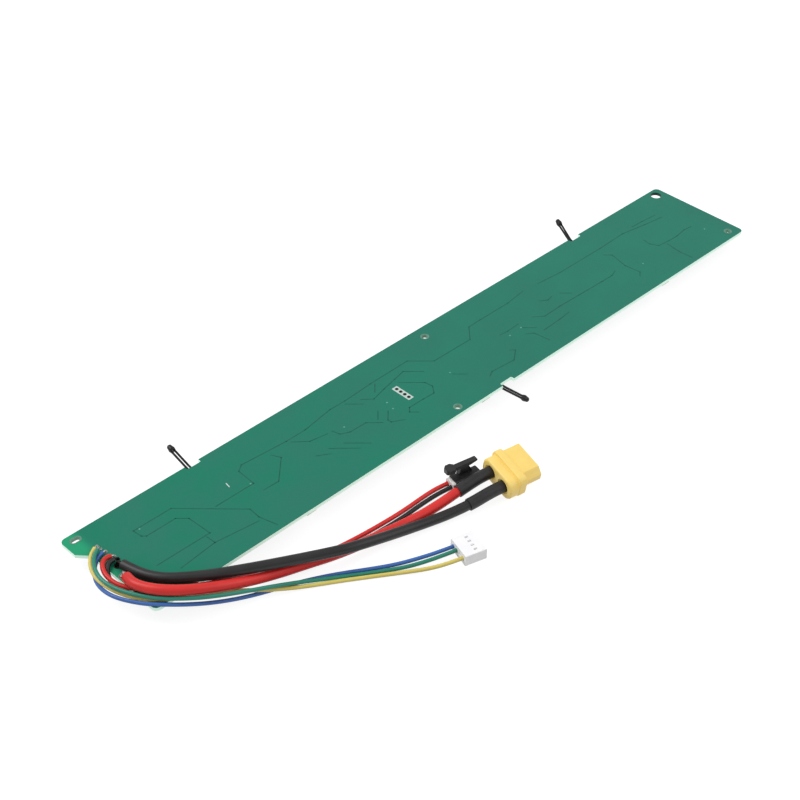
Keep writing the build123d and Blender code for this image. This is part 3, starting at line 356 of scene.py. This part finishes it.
def masked_board():
    """Green where the board lies flat, pale resin with a painted glow on its cut walls, and painted shade on
    the mount hole's wall.
    """
    material = bpy.data.materials.new("green_mask_on_glass_cloth")
    material.use_nodes = True
    tree = material.node_tree
    shader = tree.nodes["Principled BSDF"]
    shader.inputs["Specular IOR Level"].default_value = 0.24
    surface = tree.nodes.new("ShaderNodeGroup")
    surface.node_tree = tone
    surface.inputs["Shade"].default_value = (*mask_shade, 1)
    surface.inputs["Patch Scale"].default_value = 45
    drift = tree.nodes.new("ShaderNodeMapRange")
    drift.inputs["From Min"].default_value = mask_drift[0]
    drift.inputs["From Max"].default_value = mask_drift[1]
    spray = tree.nodes.new("ShaderNodeMix")
    spray.data_type = "RGBA"
    spray.inputs[6].default_value = (*mask_near_leads, 1)
    spray.inputs[7].default_value = (*mask_beyond_header, 1)
    surface.inputs["Grain Scale"].default_value = 1400
    surface.inputs["Low Roughness"].default_value = 0.34
    surface.inputs["High Roughness"].default_value = 0.46
    facing = tree.nodes.new("ShaderNodeNewGeometry")
    parts = tree.nodes.new("ShaderNodeSeparateXYZ")
    size = tree.nodes.new("ShaderNodeMath")
    size.operation = "ABSOLUTE"
    flat = tree.nodes.new("ShaderNodeMath")
    flat.operation = "GREATER_THAN"
    flat.inputs[1].default_value = 0.7
    edge = tree.nodes.new("ShaderNodeMix")
    edge.data_type = "RGBA"
    place = tree.nodes.new("ShaderNodeTexCoord")
    from_hole = tree.nodes.new("ShaderNodeVectorMath")
    from_hole.operation = "DISTANCE"
    from_hole.inputs[1].default_value = mount_hole
    near_hole = tree.nodes.new("ShaderNodeMath")
    near_hole.operation = "LESS_THAN"
    near_hole.inputs[1].default_value = mount_hole_reach
    # Painted shade on the mount hole's wall, pale resin on the other cut walls.
    wall = tree.nodes.new("ShaderNodeMix")
    wall.data_type = "RGBA"
    wall.inputs[6].default_value = (*cut_edge, 1)
    wall.inputs[7].default_value = (*mount_hole_painted_shade, 1)
    along = tree.nodes.new("ShaderNodeSeparateXYZ")
    bare = tree.nodes.new("ShaderNodeMapRange")
    bare.interpolation_type = "SMOOTHSTEP"
    bare.inputs["From Min"].default_value = lead_end_edge_band[0]
    bare.inputs["From Max"].default_value = lead_end_edge_band[1]
    top_green = tree.nodes.new("ShaderNodeMix")
    top_green.data_type = "RGBA"
    top_green.inputs[7].default_value = (*lead_end_edge_green, 1)
    # Painted light: every cut wall except the mount hole's glows with a pale mint emission.
    shader.inputs["Emission Strength"].default_value = edge_painted_light_strength
    cut = tree.nodes.new("ShaderNodeMath")
    cut.operation = "MAXIMUM"
    light = tree.nodes.new("ShaderNodeMix")
    light.data_type = "RGBA"
    light.inputs[6].default_value = (*cut_edge_painted_light, 1)
    light.inputs[7].default_value = (0, 0, 0, 1)
    relief = tree.nodes.new("ShaderNodeBump")
    relief.inputs["Strength"].default_value = 0.06
    relief.inputs["Distance"].default_value = 0.0001
    links = tree.links
    links.new(facing.outputs["Normal"], parts.inputs[0])
    links.new(parts.outputs["Z"], size.inputs[0])
    links.new(size.outputs[0], flat.inputs[0])
    links.new(flat.outputs[0], edge.inputs["Factor"])
    links.new(flat.outputs[0], cut.inputs[0])
    links.new(near_hole.outputs[0], cut.inputs[1])
    links.new(cut.outputs[0], light.inputs["Factor"])
    links.new(light.outputs[2], shader.inputs["Emission Color"])
    links.new(place.outputs["Object"], from_hole.inputs[0])
    links.new(from_hole.outputs["Value"], near_hole.inputs[0])
    links.new(near_hole.outputs[0], wall.inputs["Factor"])
    links.new(wall.outputs[2], edge.inputs[6])
    links.new(place.outputs["Object"], along.inputs[0])
    links.new(along.outputs["X"], bare.inputs["Value"])
    links.new(along.outputs["X"], drift.inputs["Value"])
    links.new(drift.outputs["Result"], spray.inputs["Factor"])
    links.new(spray.outputs[2], surface.inputs["Color"])
    links.new(bare.outputs["Result"], top_green.inputs["Factor"])
    links.new(surface.outputs["Color"], top_green.inputs[6])
    links.new(top_green.outputs[2], edge.inputs[7])
    links.new(edge.outputs[2], shader.inputs["Base Color"])
    links.new(surface.outputs["Roughness"], shader.inputs["Roughness"])
    links.new(surface.outputs["Height"], relief.inputs["Height"])
    links.new(relief.outputs["Normal"], shader.inputs["Normal"])
    return material


dress("circuit_board", masked_board())
board_low, board_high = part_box("circuit_board")
board_top = board_high.z

# The copper areas under the mask: where the copper is etched away the mask lies lower and
# looks darker, so each area is edged by a fine dark line.
gap_width = 0.00045
gap_rise = 0.00001


def etched_lines(name, runs, width, rise, material):
    """Flat ribbons that follow straight runs on the board's plain face."""
    points, faces = [], []
    for run in runs:
        for (x0, y0), (x1, y1) in zip(run, run[1:]):
            along = Vector((x1 - x0, y1 - y0)).normalized() * width / 2
            side = Vector((-along.y, along.x))
            first = len(points)
            for bx, by in ((x0 - along.x - side.x, y0 - along.y - side.y),
                           (x1 + along.x - side.x, y1 + along.y - side.y),
                           (x1 + along.x + side.x, y1 + along.y + side.y),
                           (x0 - along.x + side.x, y0 - along.y + side.y)):
                points.append((bx, by, board_top + rise))
                points.append((bx, by, board_top))
            top = (first, first + 2, first + 4, first + 6)
            base = tuple(reversed([value + 1 for value in top]))
            faces += [top, base]
            for here, following in zip(top, top[1:] + top[:1]):
                faces.append((following, here, here + 1, following + 1))
    mesh = bpy.data.meshes.new(name)
    mesh.from_pydata(points, [], faces)
    mesh.materials.append(material)
    piece = bpy.data.objects.new(name, mesh)
    scene.collection.objects.link(piece)
    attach(piece, "root")
    return piece


gap_green = finish("mask_over_bare_resin", (0.004, 0.098, 0.066), (0.008, 0.125, 0.088), 300, 1400,
                   (0.40, 0.52), 0.05, gloss=0.3)
copper_gaps = [
    [(-0.1643, 0.0123), (-0.1453, 0.0122), (-0.1227, -0.0105), (-0.1231, -0.0166), (-0.1207, -0.0251)],
    [(-0.1315, 0.0004), (-0.1115, 0.0003), (-0.1111, 0.0103), (-0.1078, 0.0126), (-0.0843, 0.0108),
     (-0.0736, 0.0108), (-0.0566, 0.0134), (-0.0479, 0.0132), (-0.0318, 0.0141), (-0.0083, 0.0144),
     (0.0004, 0.0059), (0.0238, 0.0056), (0.0304, 0.0126), (0.0381, 0.0128), (0.0575, 0.0128),
     (0.0699, 0.0144)],
    [(-0.1643, 0.0123), (-0.1637, 0.0077), (-0.1622, 0.0063), (-0.1477, 0.0063), (-0.1438, 0.0026),
     (-0.1431, -0.0099), (-0.1694, -0.0096)],
    [(-0.1454, -0.0107), (-0.1451, -0.0155)],
    [(-0.1246, -0.0183), (-0.1451, -0.0155), (-0.1636, -0.0173)],
    [(-0.1112, -0.0057), (-0.1033, -0.0060), (-0.0927, 0.0045), (-0.0948, 0.0087)],
    [(-0.0832, 0.0091), (-0.0771, 0.0038), (-0.0684, 0.0022)],
    [(-0.0816, -0.0050), (-0.0762, -0.0084)],
    [(-0.0745, -0.0053), (-0.0649, -0.0143)],
    [(-0.0675, -0.0072), (-0.0593, -0.0152)],
    [(-0.0494, 0.0116), (-0.0437, 0.0061)],
    [(-0.0422, 0.0090), (-0.0379, 0.0053), (-0.0299, 0.0072), (-0.0214, 0.0089), (-0.0150, 0.0102),
     (-0.0083, 0.0037)],
    [(-0.0303, 0.0126), (-0.0342, 0.0085)],
    [(-0.0219, 0.0059), (-0.0136, -0.0022), (-0.0130, -0.0063), (-0.0160, -0.0102), (-0.0224, -0.0099),
     (-0.0309, -0.0098), (-0.0330, -0.0120), (-0.0301, -0.0149)],
    [(-0.0424, -0.0019), (-0.0464, -0.0061)],
    [(-0.0392, -0.0050), (-0.0435, -0.0093), (-0.0434, -0.0113), (-0.0380, -0.0142)],
    [(-0.0658, 0.0022), (-0.0647, -0.0017), (-0.0607, -0.0037), (-0.0516, -0.0040), (-0.0462, -0.0090)],
    [(-0.0003, -0.0067), (0.0042, -0.0111)],
    [(0.0362, -0.0017), (0.0411, -0.0022), (0.0485, -0.0018)],
    [(0.0474, -0.0046), (0.0524, -0.0095)],
    [(0.0454, -0.0096), (0.0486, -0.0117), (0.0498, -0.0204)],
    [(0.0573, -0.0027), (0.0622, -0.0064), (0.0733, -0.0061), (0.0866, -0.0065), (0.1031, -0.0070),
     (0.1105, -0.0071), (0.1145, -0.0057)],
    [(0.0536, -0.0134), (0.0655, -0.0129), (0.0727, -0.0122)],
    [(0.0311, -0.0126), (0.0329, -0.0144), (0.0269, -0.0189), (0.0136, -0.0177), (0.0105, -0.0193)],
    [(0.0692, 0.0036), (0.0729, 0.0011), (0.0767, 0.0020)],
    [(0.0813, 0.0009), (0.0854, -0.0031)],
    [(0.0797, 0.0135), (0.0943, 0.0122), (0.1244, 0.0121), (0.1427, 0.0127), (0.1575, 0.0101),
     (0.1692, 0.0085)],
    [(0.1459, 0.0016), (0.1453, -0.0028), (0.1474, -0.0067), (0.1546, -0.0075), (0.1607, -0.0077),
     (0.1676, -0.0068), (0.1727, -0.0073)],
    [(0.1517, -0.0088), (0.1504, -0.0176), (0.1509, -0.0249)],
    [(0.1214, 0.0070), (0.1242, 0.0042), (0.1217, -0.0061), (0.1226, -0.0147), (0.1199, -0.0169)],
    [(0.1510, 0.0133), (0.1586, 0.0130), (0.1681, 0.0121)],
]
etched_lines("copper_gaps", copper_gaps, gap_width, gap_rise, gap_green)

# The small vias: fine plated holes that join the copper on the two faces. The green mask
# closes them, and they show as pale dots.
vias = [(-0.1618, 0.0115), (-0.1126, 0.0010), (-0.0603, 0.0005), (-0.0355, -0.0005),
        (-0.0365, -0.0053), (-0.0005, -0.0050), (0.0392, -0.0052), (0.0474, -0.0046),
        (0.1758, -0.0135), (0.1293, -0.0112)]
via_size = 0.0007
via_green = finish("mask_over_via", (0.10, 0.34, 0.25), (0.14, 0.38, 0.29), 600, 2000, (0.30, 0.42), 0.05)
etched_lines("vias", [[(x - via_size / 20, y), (x + via_size / 20, y)] for x, y in vias], via_size,
             2 * gap_rise, via_green)

# The rings of the plated holes: copper under bright tin, standing a little proud. Those of
# the header and of the larger holes have gone dull.
bright_tin = finish("bright_tin", (0.80, 0.79, 0.76), (0.66, 0.65, 0.62), 500, 3500,
                    (0.20, 0.34), 0.10, metal=0.9)
dull_tin = finish("dull_tin", (0.20, 0.27, 0.23), (0.30, 0.37, 0.33), 500, 3500,
                  (0.36, 0.50), 0.10, metal=0.4)
dark_tin = finish("dark_tin", (0.030, 0.045, 0.042), (0.060, 0.075, 0.070), 500, 3500, (0.40, 0.55), 0.10)
dress("lead_hole_lands", dull_tin)
dress("header_lands", dark_tin)


# Painted light: the walls inside the holes are coloured a pale green, lighter than their tin, which lifts
# the shade inside them.
barrel_painted_light = (0.24, 0.48, 0.36)


def plated_hole():
    """Dull flat rings, and a barrel inside the hole coloured pale as painted light."""
    material = finish("plated_hole", (0.085, 0.24, 0.165), (0.13, 0.29, 0.21), 500, 3500, (0.24, 0.40), 0.05)
    tree = material.node_tree
    shader, surface = tree.nodes["Principled BSDF"], tree.nodes["Group"]
    facing = tree.nodes.new("ShaderNodeNewGeometry")
    parts = tree.nodes.new("ShaderNodeSeparateXYZ")
    size = tree.nodes.new("ShaderNodeMath")
    size.operation = "ABSOLUTE"
    upright = tree.nodes.new("ShaderNodeMath")
    upright.operation = "LESS_THAN"
    upright.inputs[1].default_value = 0.5
    barrel = tree.nodes.new("ShaderNodeMix")
    barrel.data_type = "RGBA"
    barrel.inputs[7].default_value = (*barrel_painted_light, 1)
    links = tree.links
    links.new(facing.outputs["Normal"], parts.inputs[0])
    links.new(parts.outputs["Z"], size.inputs[0])
    links.new(size.outputs[0], upright.inputs[0])
    links.new(upright.outputs[0], barrel.inputs["Factor"])
    links.new(surface.outputs["Color"], barrel.inputs[6])
    links.new(barrel.outputs[2], shader.inputs["Base Color"])
    return material


rings = plated_hole()
for ring in ("plated_hole_lands", "slot_land"):
    dress(ring, rings)

# The solder at the lead holes: tin alloy, melted in by hand, drawn up round each core and
# left shiny, apart from one joint, which is coloured dark round its hole.
def darkened(material, place, reach):
    """Dark colour round one joint, within a short reach of its hole."""
    tree = material.node_tree
    shader, surface = tree.nodes["Principled BSDF"], tree.nodes["Group"]
    point = tree.nodes.new("ShaderNodeTexCoord")
    apart = tree.nodes.new("ShaderNodeVectorMath")
    apart.operation = "DISTANCE"
    apart.inputs[1].default_value = place
    fade = tree.nodes.new("ShaderNodeMapRange")
    fade.inputs["From Min"].default_value = reach
    fade.inputs["From Max"].default_value = reach * 1.2
    joint_dark_mix = tree.nodes.new("ShaderNodeMix")
    joint_dark_mix.data_type = "RGBA"
    joint_dark_mix.inputs[6].default_value = (0.020, 0.016, 0.014, 1)
    tree.links.new(point.outputs["Object"], apart.inputs[0])
    tree.links.new(apart.outputs["Value"], fade.inputs["Value"])
    tree.links.new(fade.outputs["Result"], joint_dark_mix.inputs["Factor"])
    tree.links.new(surface.outputs["Color"], joint_dark_mix.inputs[7])
    tree.links.new(joint_dark_mix.outputs[2], shader.inputs["Base Color"])


black_joint = (-0.1803, 0.0009, 0.0110)
joint_reach = 0.0040
darkened(tinned, black_joint, joint_reach)
darkened(dull_tin, black_joint, joint_reach)
solder = finish("solder", (0.78, 0.77, 0.74), (0.60, 0.59, 0.56), 700, 4000,
                (0.16, 0.30), 0.15, metal=1.0)
darkened(solder, black_joint, joint_reach)
dress("lead_solder_joints", solder)

# The header's printed field: a strip of white ink round the four holes, and a short ink
# dash near the lead end.
header_center = (-0.0259, -0.0006)
header_length = 0.0108
header_width = 0.0031
ink_rise = 0.00003
dash_width = 0.00045
dash_run = [(-0.1197, 0.0081), (-0.1201, 0.0057)]
white_ink = finish("white_ink", (0.62, 0.72, 0.67), (0.50, 0.62, 0.56), 900, 5000,
                   (0.45, 0.6), 0.1, gloss=0.3)
hole_pitch = 0.00254
hole_clear = 0.0006


def ink_field(name, center, length, width, pitch, clear, material):
    """A printed strip with a round opening at each of the four holes."""
    outline = bpy.data.curves.new(name + "_outline", "CURVE")
    outline.dimensions = "2D"
    outline.fill_mode = "BOTH"
    outline.extrude = ink_rise / 2
    rim = 24
    rings = [[(center[0] + sx * width / 2, center[1] + sy * length / 2)
              for sx, sy in ((-1, -1), (1, -1), (1, 1), (-1, 1))]]
    for way in (-1.5, -0.5, 0.5, 1.5):
        rings.append([(center[0] + clear * math.cos(2 * math.pi * step / rim),
                       center[1] + way * pitch + clear * math.sin(2 * math.pi * step / rim))
                      for step in range(rim)])
    for ring in rings:
        line = outline.splines.new("POLY")
        line.points.add(len(ring) - 1)
        for corner, (x, y) in zip(line.points, ring):
            corner.co = (x, y, 0, 1)
        line.use_cyclic_u = True
    flat = bpy.data.objects.new(name + "_flat", outline)
    mesh = bpy.data.meshes.new_from_object(flat)
    bpy.data.objects.remove(flat)
    mesh.transform(Matrix.Translation((0, 0, board_top + ink_rise / 2)))
    mesh.materials.clear()
    mesh.materials.append(material)
    piece = bpy.data.objects.new(name, mesh)
    scene.collection.objects.link(piece)
    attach(piece, "root")
    return piece


ink_field("header_field", header_center, header_length, header_width, hole_pitch, hole_clear, white_ink)
etched_lines("ink_dash", [dash_run], dash_width, ink_rise, white_ink)

# The temperature sensors: a bead of black resin on two sleeved wires, bent out through
# the notches in the board's edges and soldered underneath.
resin = finish("black_resin", (0.006, 0.006, 0.007), (0.014, 0.014, 0.015), 300, 2500,
               (0.22, 0.36), 0.08, gloss=0.35)
for bead in ("thermistor_bead_lead_end", "thermistor_bead_middle", "thermistor_bead_far_end"):
    dress(bead, resin)
sleeved_wire = finish("sleeved_wire", (0.010, 0.010, 0.011), (0.016, 0.016, 0.017), 300, 2500,
                      (0.50, 0.62), 0.05, gloss=0.25)
dress("thermistor_leads", sleeved_wire)
dress("thermistor_joints", solder)

# The power plug: a two-pole housing of yellow nylon with gold-plated contacts, closed
# at the rear by a hood that the leads' sleeves run into.
def painted_glow(material, color, strength):
    """Painted light: an even glow added to moulded nylon, which lifts its shaded sides."""
    shader = material.node_tree.nodes["Principled BSDF"]
    shader.inputs["Emission Color"].default_value = (*color, 1)
    shader.inputs["Emission Strength"].default_value = strength
    return material


# Painted light: the yellow nylon carries an even glow that lifts its shaded sides.
yellow_nylon = painted_glow(finish("yellow_nylon", (0.86, 0.63, 0.175), (0.83, 0.59, 0.155), 150, 2500,
                              (0.30, 0.42), 0.10, gloss=0.5), (1.0, 0.76, 0.22), 0.17)
for part in ("power_plug_hood", "power_plug_housing"):
    dress(part, yellow_nylon)
gold = finish("gold_plate", (0.80, 0.53, 0.20), (0.70, 0.45, 0.16), 400, 3000,
              (0.18, 0.30), 0.08, metal=1.0)
dress("power_plug_contacts", gold)

# The shrink sleeves: black polyolefin tube, shrunk by heat over the ends of the power
# leads and pushed into the plug's hood.
black_shrink = finish("black_shrink", (0.016, 0.016, 0.017), (0.026, 0.026, 0.027), 200, 1800,
                      (0.42, 0.55), 0.25, gloss=0.4)
for sleeve in ("power_sleeve_negative", "power_sleeve_positive"):
    dress(sleeve, black_shrink)

# The latch plug of the charging leads: moulded black nylon with a lever on top, tinned
# contacts, and a pale rubber seal where the leads go in.
black_nylon = finish("black_nylon", (0.014, 0.014, 0.015), (0.024, 0.024, 0.026), 200, 2600,
                     (0.34, 0.46), 0.12, gloss=0.45)
pale_rubber = finish("pale_rubber", (0.95, 0.94, 0.93), (0.90, 0.89, 0.87), 250, 2200,
                     (0.5, 0.62), 0.15, gloss=0.35)
dress("latch_plug_housing", black_nylon)
dress("latch_plug_seal", pale_rubber)
dress("latch_plug_contacts", bright_tin)

# The signal plug: moulded white nylon with four ways, and a small window in its top over
# each crimped contact.
# Painted light: the white nylon carries a faint even glow that lifts its shaded sides.
white_nylon = painted_glow(finish("white_nylon", (0.95, 0.95, 0.96), (0.91, 0.91, 0.93), 200, 2600,
                             (0.34, 0.46), 0.10, gloss=0.5), (1, 1, 1), 0.07)
dress("signal_plug_housing", white_nylon)
dress("signal_plug_contacts", bright_tin)

# The cells' tabs: short strips of rolled nickel, soldered flat to the underside along
# both long edges.
nickel = finish("rolled_nickel", (0.72, 0.71, 0.68), (0.62, 0.61, 0.58), 300, 3500,
                (0.26, 0.40), 0.15, metal=1.0)
dress("cell_tabs", nickel)

# The parts on the underside: switches, chips and resistors in moulded black packages,
# soldered flat by their leads and caps of matt tin.
moulded_black = finish("moulded_black", (0.020, 0.020, 0.021), (0.032, 0.032, 0.033), 300, 3500,
                       (0.50, 0.64), 0.2)
matt_tin = finish("matt_tin", (0.60, 0.60, 0.58), (0.50, 0.50, 0.48), 600, 4500,
                  (0.32, 0.46), 0.12, metal=1.0)
for body in ("mosfet_bodies", "monitor_chip", "microcontroller", "regulator", "surge_diodes",
             "shunt_resistors", "balance_resistors", "balance_transistors", "chip_resistors",
             "capacitor_bases"):
    dress(body, moulded_black)
for metal in ("mosfet_tabs", "mosfet_leads", "monitor_chip_leads", "microcontroller_leads",
              "regulator_leads", "fuse_caps", "crystal_can"):
    dress(metal, matt_tin)

# The capacitors' cans: drawn aluminium on black bases, soldered near the board's corners.
# The board stands on them.
drawn_can = finish("drawn_aluminium", (0.72, 0.72, 0.73), (0.62, 0.62, 0.63), 200, 2600,
                   (0.28, 0.40), 0.1, metal=1.0)
dress("capacitor_cans", drawn_can)

# The small ceramic parts, the fuse, the inductor's pressed ferrite and the clear lamps,
# all soldered flat to the underside.
ceramic = finish("fired_ceramic", (0.46, 0.34, 0.22), (0.38, 0.27, 0.17), 600, 3500, (0.45, 0.6), 0.2)
dress("chip_capacitors", ceramic)
dress("fuse_body", ceramic)
ferrite = finish("ferrite", (0.060, 0.060, 0.065), (0.085, 0.085, 0.088), 500, 3000, (0.5, 0.66), 0.25)
dress("power_inductor", ferrite)
clear_resin = finish("clear_resin", (0.70, 0.74, 0.70), (0.62, 0.68, 0.62), 800, 4000, (0.2, 0.3), 0.1)
dress("status_lamps", clear_resin)
